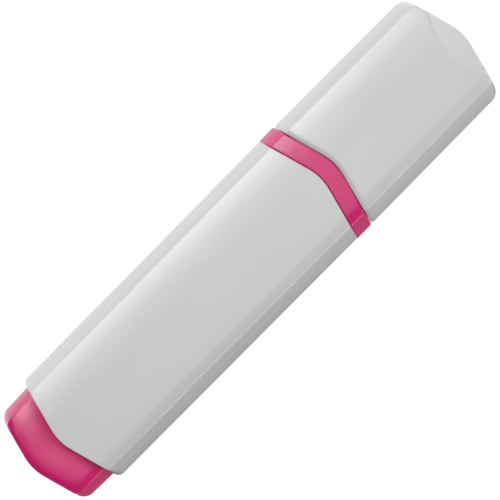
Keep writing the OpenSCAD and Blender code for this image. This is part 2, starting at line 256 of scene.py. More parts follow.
def outline(flat, shoulder, crease, facet, edge):
    """The places of an outline's points, from the number of steps in each stretch of the quarter
    section: for each point its stretch (0 flat, 1 shoulder, 2 crease, 3 facet, 4 edge), how far
    along that stretch it is, and the signs that mirror the quarter all the way round."""
    counts = [flat, shoulder, crease, facet, edge]
    stretch = np.concatenate([np.full(n, k) for k, n in enumerate(counts)] + [[4]])
    along = np.concatenate([np.arange(n) / n for n in counts] + [[1.0]])
    last = len(along) - 1
    up, down = np.arange(last + 1), np.arange(last - 1, -1, -1)
    order = np.concatenate([up, down, up[1:], down[:-1]])
    side = np.concatenate([np.ones(2 * last + 1), -np.ones(2 * last - 1)])
    face = np.concatenate([np.ones(last + 1), -np.ones(2 * last), np.ones(last - 1)])
    return stretch[order], along[order], side, face


def facet_lean(crease_y, inset):
    """The angle of the side facet's normal in a section moved in by inset: the facet runs from
    the shoulder's arc at crease_y and touches the edge's circle."""
    rise = math.sqrt((SHOULDER_R - inset) ** 2 - (crease_y - SHOULDER_Y) ** 2)
    crease_z = SHOULDER_Z + rise
    dy = crease_y - (WIDEST - EDGE_R)
    return math.atan2(crease_z, dy) - math.acos((EDGE_R - inset) / math.hypot(dy, crease_z))


FACET_LEAN = facet_lean(CREASE_Y, 0.0)
PLUG_LEAN = facet_lean(PLUG_CREASE_Y, SKIRT_INSET)


def section(points, inset, half_w, crease_r, lean=FACET_LEAN):
    """Y and Z of the pen's section moved in by inset: a face that falls by a fourth power, a
    shoulder arc, a small arc round the crease, a facet bowed by a parabola and an arc round the
    widest edge. Each arc keeps its centre and loses inset in radius, and a narrower section takes
    its change of width out of the face."""
    stretch, t, side, face = points
    narrow = WIDEST - half_w
    ny, nz = math.cos(lean), math.sin(lean)
    edge_r = np.maximum(EDGE_R - inset, LEAST_R)
    reach = ny * (WIDEST - EDGE_R) + EDGE_R - inset
    edge_y = (reach - edge_r) / ny
    turn_r = np.maximum(crease_r - inset, LEAST_R)
    arm = SHOULDER_R - inset - turn_r
    across = reach - turn_r - ny * SHOULDER_Y - nz * SHOULDER_Z
    turn = lean + np.arccos(np.clip(across / arm, -1, 1))
    turn_y, turn_z = SHOULDER_Y + arm * np.cos(turn), SHOULDER_Z + arm * np.sin(turn)
    start = math.pi / 2 - LEAN
    a = start + (turn - start) * t
    b = turn + (lean - turn) * t
    c = lean * (1 - t)
    bow = FACET_BOW * 4 * t * (1 - t)
    y = np.select([stretch == k for k in range(5)], [
        t * (FLAT_Y - narrow - inset * math.sin(LEAN)),
        SHOULDER_Y - narrow + (SHOULDER_R - inset) * np.cos(a),
        turn_y - narrow + turn_r * np.cos(b),
        (turn_y + turn_r * ny) * (1 - t) + (edge_y + edge_r * ny) * t + bow * ny - narrow,
        edge_y - narrow + edge_r * np.cos(c)])
    z = np.select([stretch == k for k in range(5)], [
        HALF_D - inset * (1 + (math.cos(LEAN) - 1) * t) - CROWN * t ** 4,
        SHOULDER_Z + (SHOULDER_R - inset) * np.sin(a),
        turn_z + turn_r * np.sin(b),
        (turn_z + turn_r * nz) * (1 - t) + edge_r * nz * t + bow * nz,
        edge_r * np.sin(c)])
    return y * side, z * face


def chevron(y):
    """How far a chevron edge falls back from its point: a round nose that runs on into straight
    arms."""
    y = np.abs(y)
    nose = CHEVRON_R - np.sqrt(np.maximum(CHEVRON_R ** 2 - y ** 2, 0))
    arm = y * math.tan(CHEVRON) - CHEVRON_R * (1 / math.cos(CHEVRON) - 1)
    return np.where(y < CHEVRON_R * math.sin(CHEVRON), nose, arm)


# Rows of outlines

def rows(points, point, fall, inset, scale=1.0):
    """A block of rows as (point, fall, inset, scale), spread to one value for each outline point:
    the place of the chevron's point, the share of the chevron in the row, the inset, and a factor
    that draws the row to the axis."""
    n = len(points[1])
    parts = [np.atleast_2d(np.asarray(v, float)) for v in (point, fall, inset, scale)]
    k = max(p.shape[0] for p in parts)
    return np.stack([np.broadcast_to(p, (k, n)) for p in parts])


def column(*values):
    """Numbers as a column, one for each row of a block."""
    return np.array(values, float)[:, None]


def toward(a, b, *shares):
    """A column of values that go from a towards b by each share."""
    return a + (b - a) * column(*shares)


def link(before, after, steps, close_before=0.0, close_after=0.0):
    """Rows that run straight from the last row of one block to the first of the next, without
    those two. A close share above 0 adds one more row beside that end."""
    first = [close_before] if close_before else []
    last = [1 - close_after] if close_after else []
    t = column(*first, *np.linspace(0, 1, steps)[1:-1], *last)
    return before[:, -1:] * (1 - t) + after[:, :1] * t


def quarter_round(steps):
    """A quarter circle of radius 1 from a side onto an end: distance behind the end, and inset."""
    a = np.linspace(0, math.pi / 2, steps)[:, None]
    return 1 - np.sin(a), 1 - np.cos(a)


def outer_rim(points, place, way, fall, r, inset=0.0, steps=7, deep=1.0):
    """A side's rounded rim, from the side onto the end at place that faces way: a quarter circle
    of radius r, or of an ellipse whose depth is deep times r."""
    back, drop = quarter_round(steps)
    return rows(points, place - way * back * r, fall, inset + drop * r * deep)


def inner_rim(points, place, way, fall, r, inset, steps=4):
    """The rounded rim from an end onto the inside of a wall: a quarter circle of radius r."""
    back, drop = quarter_round(steps)
    return rows(points, place - way * drop * r, fall, inset - back * r)


def side_weight(points):
    """0 on the broad faces and 1 on the sides, for each point of the outline."""
    y, _ = section(points, 0.0, WIDEST, CREASE_R)
    return smooth(SIDE_FROM, SIDE_TO, np.abs(y))[None, :]


def blend(pair, weight):
    """The first of a pair on the broad faces and the second on the sides, by weight."""
    on_face, on_side = pair
    return on_face + (on_side - on_face) * weight


def carry(points, blocks, crease_r=CREASE_R, lean=FACET_LEAN):
    """Points of the rows in the blocks: the section at each row's inset, and X from the row's
    chevron."""
    point, fall, inset, scale = np.concatenate(blocks, axis=1)
    half_w = np.interp(point[:, :1], WIDTH_AT, HALF_WIDTHS)
    y, z = section(points, inset, half_w, crease_r, lean)
    y, z = y * scale, z * scale
    return np.stack([point + fall * chevron(y), y, z + AXIS_Z], -1)


def around(angle, x, radius):
    """Rows about the axis: a radius for each place x, or for each place and angle."""
    x, radius = np.atleast_2d(x), np.atleast_2d(radius)
    shape = (max(len(x), len(radius)), angle.size)
    r = np.broadcast_to(radius, shape)
    return np.stack([np.broadcast_to(x, shape), r * np.cos(angle), AXIS_Z + r * np.sin(angle)], -1)


def polar(row):
    """Angle and radius about the axis of a row's points."""
    y, z = row[:, 1], row[:, 2] - AXIS_Z
    return np.arctan2(z, y), np.hypot(y, z)


def nib_slot(angle):
    """Distance from the axis to the rounded rectangle that the nib fits in, in each direction: to
    a long side, a short side or a corner arc."""
    half_w, half_d, r = NIB_W / 2 + NIB_GAP, NIB_D / 2 + NIB_GAP, NIB_CORNER + NIB_GAP
    c, s = np.abs(np.cos(angle)), np.abs(np.sin(angle))
    cy, cz = half_w - r, half_d - r
    side, face = half_w / np.maximum(c, 1e-9), half_d / np.maximum(s, 1e-9)
    dot = cy * c + cz * s
    corner = dot + np.sqrt(np.maximum(dot ** 2 - cy ** 2 - cz ** 2 + r ** 2, 0))
    return np.select([side * s <= cz, face * c <= cy], [side, face], corner)[None, :]


def arc(centre_x, centre_r, r, start, stop, steps):
    """Columns of place and radius along an arc in the plane through the axis, angles in degrees
    from +X."""
    a = np.radians(np.linspace(start, stop, steps))[:, None]
    return centre_x + r * np.cos(a), centre_r + r * np.sin(a)


# Meshes

def grid_faces(count, n, ring, loop=True):
    """Quads between neighbouring rows of n points; with ring the last row joins the first, and
    with loop each row joins its own start."""
    i = np.arange(count if ring else count - 1)[:, None]
    j = np.arange(n if loop else n - 1)[None, :]
    after, ahead = (j + 1) % n, (i + 1) % count
    corners = [i * n + j, i * n + after, ahead * n + after, ahead * n + j]
    return np.stack(corners, -1).reshape(-1, 4)


def pole_faces(count, n):
    """Triangles from the first and last row to the two points that close them."""
    j = np.arange(n)
    after = (j + 1) % n
    end = (count - 1) * n
    first, last = np.full(n, count * n), np.full(n, count * n + 1)
    return np.concatenate([np.stack([first, after, j], -1),
                           np.stack([last, end + j, end + after], -1)])


def volume(verts, tris):
    """Signed volume inside a closed set of triangles: positive when they face outwards."""
    a, b, c = (verts[tris[:, k]] for k in range(3))
    return np.einsum("ij,ij->i", a, np.cross(b, c)).sum() / 6


def closed_loft(grid, ring):
    """Vertices and faces of a loft: a tube that joins itself, or a skin closed by a point at each
    end."""
    count, n, _ = grid.shape
    verts = grid.reshape(-1, 3)
    quads = grid_faces(count, n, ring)
    tris = np.zeros((0, 3), int)
    if not ring:
        verts = np.concatenate([verts, grid[:1].mean(1), grid[-1:].mean(1)])
        tris = pole_faces(count, n)
    fan = np.concatenate([quads[:, [0, 1, 2]], quads[:, [0, 2, 3]], tris])
    if volume(verts, fan) < 0:
        quads, tris = quads[:, ::-1], tris[:, ::-1]
    return verts, quads.tolist() + tris.tolist()


def rib(lo, hi):
    """A straight rib as a block between two corners: the eight corners of a unit cube, stretched
    from the low corner to the high one, and its six sides."""
    lo, hi = np.array(lo, float), np.array(hi, float)
    corner = np.indices((2, 2, 2)).reshape(3, 8).T
    sides = np.array([[0, 1, 3, 2], [4, 6, 7, 5], [0, 4, 5, 1],
                      [2, 3, 7, 6], [0, 2, 6, 4], [1, 5, 7, 3]])
    return lo + corner * (hi - lo), sides


def put(name, grid, material, body, node, ring=False, ribs=()):
    """Makes a piece from a loft and its ribs, smooth except at hard edges, and ties it to the
    solid it stands for."""
    verts, faces = closed_loft(grid, ring)
    for rib_verts, rib_sides in ribs:
        faces = faces + (rib_sides + len(verts)).tolist()
        verts = np.concatenate([verts, rib_verts])
    mesh = bpy.data.meshes.new(name)
    mesh.from_pydata((verts * MM).tolist(), [], faces)
    mesh.polygons.foreach_set("use_smooth", np.ones(len(mesh.polygons), bool))
    mesh.set_sharp_from_angle(angle=HARD_EDGE)
    mesh.update()
    mesh.materials.append(material)
    piece = bpy.data.objects.new(name, mesh)
    bpy.context.scene.collection.objects.link(piece)
    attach(piece, body)
    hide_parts(node)


# Barrel

def barrel_grid():
    """White tube: outside from tail to front, rim, inside back to the tail, rim. Its tail rim is
    rounder on the sides."""
    pts = outline(10, 14, 7, 9, 8)
    tail = outer_rim(pts, X_BARREL, -1, 1, blend(BARREL_TAIL_R, side_weight(pts)))[:, ::-1]
    front = outer_rim(pts, X_FRONT, 1, -1, BARREL_FRONT_R)
    front_in = inner_rim(pts, X_FRONT, 1, -1, BARREL_LIP_R, WALL)
    tail_in = inner_rim(pts, X_BARREL, -1, 1, BARREL_LIP_R, WALL)[:, ::-1]
    return carry(pts, [
        tail, link(tail, front, 72, 0.0015, 0.0015), front,
        link(front, front_in, 5), front_in,
        link(front_in, tail_in, 16), tail_in, link(tail_in, tail, 5)])


def barrel_ribs():
    """Four long ribs inside the broad walls that hold the ink core: one for each side of the
    centre line on each face, from near the core into the wall."""
    x0, x1 = X_PLUG_MOUTH + BARREL_RIB_SHORT, X_SKIRT - BARREL_RIB_SHORT
    root = HALF_D - WALL / 2
    upper, lower = (BARREL_RIB_TIP, root), (-root, -BARREL_RIB_TIP)
    return [rib([x0, y - BARREL_RIB, AXIS_Z + z0], [x1, y + BARREL_RIB, AXIS_Z + z1])
            for y in (-BARREL_RIB_Y, BARREL_RIB_Y) for z0, z1 in (lower, upper)]


# Tail plug

def plug_grid():
    """Pink plug: its round-rimmed chevron end, the outside to the skirt's mouth, and the hollow
    back to the end wall. The part that shows falls from its crest by a parabola."""
    pts = outline(12, 14, 7, 9, 8)
    weight = side_weight(pts)
    end_r = blend(PLUG_END_R, weight)
    start, stop = X_TAIL + end_r, X_BARREL + UNDER_LIP
    rim = outer_rim(pts, X_TAIL, -1, 1, end_r, SKIRT_INSET, 11, blend(PLUG_END_DEEP, weight))
    along = rows(pts, toward(start, stop, *np.linspace(0, 1, 22)[1:]), 1, SKIRT_INSET)
    shown = np.concatenate([rim[:, ::-1], along], axis=1)
    from_crest = (shown[0] - X_TAIL - PLUG_CREST) / ((X_BARREL - X_TAIL) / 2)
    shown[2] += PLUG_CROWN * from_crest ** 2 * (1 - weight)
    end_point = rows(pts, X_TAIL, 1, shown[2, 0], POLE)
    mouth = outer_rim(pts, X_PLUG_MOUTH, 1, 0, SKIRT_RIM, SKIRT_INSET, 4)
    mouth_in = inner_rim(pts, X_PLUG_MOUTH, 1, 0, HOLLOW_RIM, HOLLOW_INSET, 3)
    floor_rim = outer_rim(pts, X_PLUG_FLOOR, -1, 1, PLUG_FLOOR_R, HOLLOW_INSET, 5)
    floor_point = rows(pts, X_PLUG_FLOOR, 1, floor_rim[2, -1], POLE)
    return carry(pts, [
        end_point, link(end_point, shown, 16), shown, link(shown, mouth, 20), mouth,
        link(mouth, mouth_in, 4), mouth_in, link(mouth_in, floor_rim, 14), floor_rim,
        link(floor_rim, floor_point, 8), floor_point], PLUG_CREASE_R, PLUG_LEAN)


def plug_ribs():
    """Two crossed ribs inside the plug, as wide as the ink core that stops against them."""
    x0, x1 = X_TAIL + PLUG_RIB_ROOT, X_PLUG_MOUTH - CORE_IN_PLUG - CORE_END_GAP
    return [rib([x0, -y, AXIS_Z - z], [x1, y, AXIS_Z + z])
            for y, z in ((PLUG_RIB, CORE_R), (CORE_R, PLUG_RIB))]


# Front section

def section_shell(pts, skirt_end):
    """Blocks of the front section's outside from its skirt to the neck's end: skirt, collar and
    neck with its snap ridge. The collar stands proud on the sides."""
    weight = side_weight(pts)
    proud = -COLLAR_PROUD * weight
    close = SIDE_CLOSE * weight
    collar_rear = outer_rim(pts, X_SEAM - close, -1, -1, COLLAR_REAR_R, proud, 5)[:, ::-1]
    collar_front = outer_rim(
        pts, X_COLLAR + close, 1, -1, blend(COLLAR_FRONT_R, weight), proud, 6)
    skirt_front = rows(pts, X_SEAM, -1, SKIRT_INSET)
    neck_rear = rows(pts, X_COLLAR, -1, NECK_INSET)
    ridge = rows(pts, X_NECK - RIDGE_W * column(2.3, 2.1, 1.9, 1.5, 1.1, 0.9, 0.7), 0,
                 NECK_INSET - RIDGE_H * column(0, 0.15, 0.9, 1, 0.9, 0.15, 0))
    neck_front = outer_rim(pts, X_NECK, 1, 0, NECK_RIM, NECK_INSET, 7)
    return [
        skirt_end, link(skirt_end, skirt_front, 10), skirt_front,
        link(skirt_front, collar_rear, 5), collar_rear,
        link(collar_rear, collar_front, 12, 0.02, 0.02), collar_front,
        link(collar_front, neck_rear, 6), neck_rear,
        link(neck_rear, ridge, 8, 0.02), ridge, neck_front]


def snout_grid(neck_end, hollow_front):
    """Rows about the axis from the neck's last row to the hollow's first: front wall, an arc into
    the land, the nose's two straight tapers, an arc round the tip, then back through the nib's
    channel, round the guide tube's end and along its outside."""
    angle, wide = polar(neck_end)
    _, hollow_wide = polar(hollow_front)
    slot = nib_slot(angle)
    root_x, root_r = arc(X_LAND, ROOT_R, SNOUT_ROOT, 180, 270, 7)
    fall = LAND_R - TIP_R
    land_end, bend = X_LAND + LAND_LEN, X_SNOUT - fall / 2
    nose_x = column(X_LAND + 0.5, land_end - 0.3, land_end, land_end + 0.3, bend - 0.2, bend + 0.1)
    nose_r = np.interp(nose_x, [land_end, bend, X_SNOUT], [LAND_R, TIP_R + fall / 4, TIP_R])
    tip_r, lead = 0.25, 0.12
    tip_x, tip_rad = arc(X_SNOUT - tip_r, TIP_R - tip_r, tip_r, 80, 0, 6)
    return np.concatenate([
        around(angle, X_NECK, toward(wide, ROOT_R, *np.linspace(0, 1, 8)[1:-1])),
        around(angle, root_x, root_r),
        around(angle, nose_x, nose_r),
        around(angle, tip_x, tip_rad),
        around(angle, X_SNOUT, toward(TIP_R - tip_r, slot + lead, 0.3, 0.7, 1)),
        around(angle, X_SNOUT - lead * column(1 / 3, 1), slot + lead * column(1 / 3, 0)),
        around(angle, column(X_SNOUT - 1, X_NECK, X_GUIDE + 1, X_GUIDE), slot),
        around(angle, X_GUIDE, toward(slot, GUIDE_R, 0.3, 1)),
        around(angle, column(X_GUIDE + 0.5, X_BULKHEAD - 0.5, X_BULKHEAD), GUIDE_R),
        around(angle, X_BULKHEAD, toward(GUIDE_R, hollow_wide, 0.3, 0.7))])


def section_grid():
    """Pink front section as one skin: its shell, the snout with the nib's channel, and the hollow
    from the bulkhead back to the skirt's end."""
    pts = outline(12, 12, 6, 9, 8)
    skirt_end = outer_rim(pts, X_SKIRT, -1, 0, SKIRT_RIM, SKIRT_INSET, 4)[:, ::-1]
    skirt_in = inner_rim(pts, X_SKIRT, -1, 0, HOLLOW_RIM, HOLLOW_INSET, 3)[:, ::-1]
    hollow_front = rows(pts, X_BULKHEAD, 0, NECK_HOLLOW_INSET)
    shell = carry(pts, section_shell(pts, skirt_end))
    hollow = carry(pts, [hollow_front, link(hollow_front, skirt_in, 14), skirt_in,
                         link(skirt_in, skirt_end, 4)])
    return np.concatenate([shell, snout_grid(shell[-1], hollow[0]), hollow])


# Cap and its liner

def scoop_depth(x, y):
    """Depth of the thumb scoop below the broad face: a step inside a circle, whose wall is
    smoothed over its width, then a floor that falls towards the end."""
    start = X_END - SCOOP_LEN
    inside = SCOOP_R - np.hypot(x - start - SCOOP_R, y)
    fall = SCOOP_STEP + np.maximum(x - start, 0) * SCOOP_SLOPE
    return fall * smooth(0, SCOOP_WALL, inside)


def cap_grid():
    """White cap: its hollow from the end wall past the liner's ledge to the mouth, the mouth with
    a bevel that falls by a parabola, the outside and the round-rimmed chevron end. Near the end
    the section is lowered towards the middle by the scoop's depth."""
    pts = outline(40, 16, 7, 10, 8)
    cavity = outer_rim(pts, X_CAVITY, 1, -1, CAP_CAVITY_R, DEEP_INSET, 5)[:, ::-1]
    cavity_point = rows(pts, X_CAVITY, -1, cavity[2, 0], POLE)
    ledge_deep, ledge = rows(pts, X_LEDGE, 0, DEEP_INSET), rows(pts, X_LEDGE, 0, CAP_WALL)
    mouth_in = inner_rim(pts, X_MOUTH, -1, -1, CAP_LIP_R, CAP_WALL)[:, ::-1]
    mouth_rim = outer_rim(pts, X_MOUTH, -1, -1, MOUTH_R, MOUTH_DROP, 4)[:, ::-1]
    k = np.linspace(0, 1, 8)[1:, None]
    bevel = rows(pts, X_MOUTH + MOUTH_R + (MOUTH_LEN - MOUTH_R) * k, -1, MOUTH_DROP * (1 - k) ** 2)
    before_scoop = rows(pts, X_END - SCOOP_LEN - SCOOP_ROOM, -1, 0.0)
    end = outer_rim(pts, X_END, 1, -1, blend(CAP_END_R, side_weight(pts)), 0.0, 11)
    end_point = rows(pts, X_END, -1, end[2, -1], POLE)
    grid = carry(pts, [
        cavity_point, link(cavity_point, cavity, 10), cavity,
        link(cavity, ledge_deep, 30), ledge_deep, ledge,
        link(ledge, mouth_in, 10), mouth_in, link(mouth_in, mouth_rim, 4), mouth_rim, bevel,
        link(bevel, before_scoop, 34, 0.004), before_scoop,
        link(before_scoop, end, 84, 0.0, 0.008), end, link(end, end_point, 26), end_point])
    depth = scoop_depth(grid[..., 0], grid[..., 1])
    grid[..., 2] = AXIS_Z + (grid[..., 2] - AXIS_Z) * (1 - depth / HALF_D)
    return grid


def liner_grid():
    """Inner cap: the closed bore that seals on the snout, its lead-in, the flange that fills the
    cap's section, and the tube's outside to its domed end."""
    pts = outline(12, 10, 4, 8, 6)
    rim_r, bend_r, foot_r, dome_r, lead = 0.2, 0.7, 0.5, 1.2, 0.44
    front = outer_rim(pts, X_FLANGE, -1, 0, rim_r, FLANGE_INSET, 4)[:, ::-1]
    back = outer_rim(pts, X_LEDGE, 1, 0, rim_r, FLANGE_INSET, 4)
    flange = carry(pts, [front, link(front, back, 4), back])
    angle, wide = polar(flange[0])
    _, wide_back = polar(flange[-1])
    x_bore = X_DOME - LINER_WALL
    bore_x, bore_r = arc(x_bore - bend_r, SEAL_R - bend_r, bend_r, 0, 90, 6)
    lead_x = X_FLANGE + column(0.5, 0.4, 0.05, 0)
    lead_r = SEAL_R + column(0, 0.03, 0.36, lead)
    foot_x, foot_rad = arc(X_LEDGE + foot_r, LINER_R + foot_r, foot_r, 180, 270, 5)
    dome_x, dome_rad = arc(X_DOME - dome_r, LINER_R - dome_r, dome_r, 90, 0, 7)
    return np.concatenate([
        around(angle, x_bore, (SEAL_R - bend_r) * column(POLE, 0.4, 0.8)),
        around(angle, bore_x, bore_r),
        around(angle, X_LEDGE + column(12, 4), SEAL_R),
        around(angle, lead_x, lead_r),
        around(angle, X_FLANGE, toward(SEAL_R + lead, wide, 0.1, 0.4, 0.7, 0.95)),
        flange,
        around(angle, X_LEDGE, toward(wide_back, LINER_R + foot_r, 0.05, 0.4, 0.7)),
        around(angle, foot_x, foot_rad),
        around(angle, column(X_LEDGE + 4, X_DOME - 4), LINER_R),
        around(angle, dome_x, dome_rad),
        around(angle, X_DOME, (LINER_R - dome_r) * column(0.7, 0.3, POLE))])


# Nib

def nib_outline(steps):
    """A rounded rectangle of the nib's size as Y and Z, with points along each side and corner."""
    y, z, r = NIB_W / 2 - NIB_CORNER, NIB_D / 2 - NIB_CORNER, NIB_CORNER
    centres = [(y, z), (-y, z), (-y, -z), (y, -z)]
    quarter = math.pi / 2
    a = np.linspace(0, quarter, steps)
    arcs = [np.stack([cy + r * np.cos(a + k * quarter), cz + r * np.sin(a + k * quarter)], -1)
            for k, (cy, cz) in enumerate(centres)]
    t = np.linspace(0, 1, steps + 2)[1:-1, None]
    sides = [arcs[k][-1] * (1 - t) + arcs[(k + 1) % 4][0] * t for k in range(4)]
    ring = np.concatenate([part for k in range(4) for part in (arcs[k], sides[k])])
    return ring[:, 0], ring[:, 1]


def slanted(y):
    """X of the nib's slanted end at each Y."""
    return X_NIB_TIP - (NIB_W / 2 - y) * NIB_SLANT


def chisel_depth(x):
    """Share of the nib's depth at each X: 1, then straight down to the edge's along the chisel."""
    return np.interp(x, [X_NIB_TIP - CHISEL_LEN, X_NIB_TIP], [1, NIB_EDGE_D / NIB_D])


def nib_grid():
    """Fibre nib: the rounded rectangle carried from its tapered rear to the slanted chisel edge.
    Towards the tip each row leans to the slant, and the depth falls to the edge's by the row's
    own place along the chisel."""
    y, z = nib_outline(7)
    start = X_NIB_TIP - CHISEL_LEN - NIB_W * NIB_SLANT
    t = np.append(np.linspace(0, 0.985, 40), 0.995)[:, None]
    chisel_x = start + (slanted(y) - start) * t
    body_x = np.linspace(X_NIB_REAR + NIB_D / 2, start, 14)[:-1, None]
    rear_x = X_NIB_REAR + column(0, 0, 0.2, 1)
    rear_scale = column(0.05, 0.45, 0.55, 0.85)
    x = np.concatenate([np.broadcast_to(v, (len(v), y.size)) for v in (rear_x, body_x, chisel_x)])
    scale = np.concatenate([rear_scale, np.ones((len(x) - len(rear_scale), 1))])
    body = np.stack([x, y * scale, AXIS_Z + z * scale * chisel_depth(x)], -1)
    tip_r = 0.22
    back, drop = quarter_round(5)
    edge_y = y * (1 - drop * tip_r / (NIB_W / 2))
    edge_z = z * chisel_depth(slanted(y) - back * tip_r) * (1 - drop * tip_r / (NIB_EDGE_D / 2))
    edge = np.stack([slanted(edge_y) - back * tip_r, edge_y, AXIS_Z + edge_z], -1)
    s = column(0.66, 0.33, 0.05)
    face_y, face_z = edge_y[-1] * s, edge_z[-1] * s
    face = np.stack([slanted(face_y), face_y, AXIS_Z + face_z], -1)
    return np.concatenate([body, edge, face])


# Ink core, film and breather tube

def core_outline():
    """The ink core's section as Y and Z: a circle, cut on its -Y side by a groove with a round
    floor for the tube."""
    g = TUBE_R + TUBE_GAP
    half = math.asin(g / CORE_R)
    a = np.linspace(half - math.pi, math.pi - half, 84)
    wall = np.linspace(CORE_R * math.cos(half), TUBE_Y, 4)[1:-1]
    b = np.linspace(math.pi / 2, -math.pi / 2, 13)
    flat = np.full(wall.size, g)
    y = np.concatenate([CORE_R * np.cos(a), -wall, g * np.cos(b) - TUBE_Y, -wall[::-1]])
    z = np.concatenate([CORE_R * np.sin(a), flat, g * np.sin(b), -flat])
    return y, z


def core_grid():
    """Fibre rod: the grooved circle carried from its tail to its front, with worn rims, then into
    the nib's pocket."""
    y, z = core_outline()
    worn = 0.25
    back, drop = quarter_round(5)
    rim_scale = 1 - drop * worn / CORE_R
    length = np.linspace(X_CORE_TAIL + worn, X_CORE_FRONT - worn, 40)[1:-1, None]
    x = np.concatenate([column(X_CORE_TAIL, X_CORE_TAIL), X_CORE_TAIL + back[::-1] * worn, length,
                        X_CORE_FRONT - back * worn])
    scale = np.concatenate([column(POLE, 0.5), rim_scale[::-1], np.ones(length.shape), rim_scale])
    skin = np.stack([np.broadcast_to(x, (len(x), y.size)), y * scale, AXIS_Z + z * scale], -1)
    angle, wide = polar(skin[-1])
    pocket = nib_slot(angle)
    pocket_end = X_NIB_REAR - NIB_GAP
    pocket_x = column(X_CORE_FRONT - 0.4, X_NIB_REAR + 1, pocket_end)
    return np.concatenate([
        skin, around(angle, X_CORE_FRONT, toward(wide, pocket, 0.3, 0.7, 1)),
        around(angle, pocket_x, pocket * column(1, 0.97, 0.62)),
        around(angle, pocket_end, pocket * column(0.3, POLE))])


def film_grid():
    """Film wrapped once round the core: a thin tube whose outside stands up a little along the
    lap of its edge."""
    lap_start, lap, lap_edge, lap_h = math.radians(60), math.radians(40), 0.09, 0.05
    angle = np.linspace(0, 2 * math.pi, 96, endpoint=False)
    turn = (angle - lap_start) % (2 * math.pi)
    on_lap = smooth(0, lap_edge, turn) * (1 - smooth(lap, lap + lap_edge, turn))
    x = np.linspace(X_CORE_TAIL, X_CORE_FRONT, 24)[:, None]
    return np.concatenate([around(angle, x, FILM_R - lap_h * (1 - on_lap)),
                           around(angle, x[::-1], CORE_R + FILM_GAP)])


def tube_grid():
    """Breather tube: outside, rim, bore and rim, about its own line beside the axis."""
    rim = 0.06
    angle = np.linspace(0, 2 * math.pi, 36, endpoint=False)
    x0, x1 = low("breather_tube")[0], high("breather_tube")[0]
    length = np.linspace(x0 + rim, x1 - rim, 20)[:, None]
    x = np.concatenate([column(x0), length, column(x1)])
    r = np.full(x.shape, TUBE_R)
    r[[0, -1]] -= rim
    grid = np.concatenate([around(angle, x, r), around(angle, column(x1, x0), TUBE_BORE)])
    grid[..., 1] -= TUBE_Y
    return grid


# Materials

def tree(name):
    """A new material with its shader, a function that adds a linked node and one that feeds a
    socket of the shader."""
    material = bpy.data.materials.new(name)
    material.use_nodes = True
    nodes, links = material.node_tree.nodes, material.node_tree.links
    shader = nodes["Principled BSDF"]

    def add(kind, inputs, **settings):
        """Adds a node; an input is a link if its value is a socket, and else a set value."""
        node = nodes.new(kind)
        for key, value in settings.items():
            setattr(node, key, value)
        for key, value in inputs.items():
            if isinstance(value, bpy.types.NodeSocket):
                links.new(value, node.inputs[key])
            else:
                node.inputs[key].default_value = value
        return node

    def feed(socket, source):
        """Links a node's output to a socket of the shader."""
        links.new(source, shader.inputs[socket])

    return material, shader, add, feed


def hold(shader, values):
    """Sets sockets of a shader that are the same all over."""
    for socket, value in values.items():
        shader.inputs[socket].default_value = value


def own_place(add):
    """The piece's own coordinates."""
    return add("ShaderNodeTexCoord", {}).outputs["Object"]


def grain(add, scale, detail=3.0, stretch=(1, 1, 1), rough=0.55):
    """Noise on the piece's own coordinates, scale in cells per metre, squeezed along its axes by
    stretch."""
    at = add("ShaderNodeMapping", {"Vector": own_place(add), "Scale": stretch}).outputs["Vector"]
    return add("ShaderNodeTexNoise", {"Vector": at, "Scale": scale, "Detail": detail,
                                      "Roughness": rough}).outputs["Fac"]


def spread(add, value, lo, hi, from_lo=0.3, from_hi=0.7):
    """Maps a value, most often a noise, to a range."""
    return add("ShaderNodeMapRange", {"Value": value, "From Min": from_lo, "From Max": from_hi,
                                      "To Min": lo, "To Max": hi}).outputs["Result"]


def tint(add, value, dark, light, from_lo=0.3, from_hi=0.7):
    """A colour between two close ones, led by a noise value."""
    ramp = add("ShaderNodeValToRGB", {"Fac": value})
    first, last = ramp.color_ramp.elements
    first.position, last.position = from_lo, from_hi
    first.color, last.color = (*dark, 1), (*light, 1)
    return ramp.outputs["Color"]


def reckon(add, operation, *values):
    """One step of arithmetic."""
    return add("ShaderNodeMath", dict(enumerate(values)), operation=operation).outputs["Value"]


def moulded(name, dark, light, rough, peel=0.008, depth=0.0, painted_glow=0.0):
    """Moulded plastic: a faint cloud in the colour, a fine skin and fine drawn marks along the pen
    in the gloss, and a shallow ripple of height peel left by the mould. In a dyed plastic red
    light spreads by about its depth, and on top of that the pink gets painted light: a faint
    pink emission that lifts it in shade."""
    material, shader, add, feed = tree(name)
    feed("Base Color", tint(add, grain(add, 70, 4, (0.5, 1, 1)), dark, light))
    skin = spread(add, grain(add, 1500, 4), -0.015, 0.015)
    marks = spread(add, grain(add, 900, 2, (0.04, 1, 1)), -0.015, 0.02)
    feed("Roughness", reckon(add, "ADD", reckon(add, "ADD", skin, marks), rough))
    ripple = add("ShaderNodeBump", {
        "Height": grain(add, 260, 2), "Distance": peel * MM, "Strength": 0.6})
    fine = add("ShaderNodeBump", {
        "Height": grain(add, 1300, 2), "Distance": 0.0012 * MM, "Strength": 0.4,
        "Normal": ripple.outputs["Normal"]})
    feed("Normal", fine.outputs["Normal"])
    hold(shader, {"IOR": 1.55})
    if depth:
        shader.subsurface_method = "BURLEY"
        # The subsurface spread is the plastic's own; the pink emission set with it is painted
        # light that lifts the piece in shade.
        hold(shader, {
            "Subsurface Weight": 1.0, "Subsurface Radius": (1.0, 0.15, 0.8),
            "Subsurface Scale": depth * MM,
            "Emission Color": (1.0, 0.01, 0.25, 1), "Emission Strength": painted_glow})
    return material


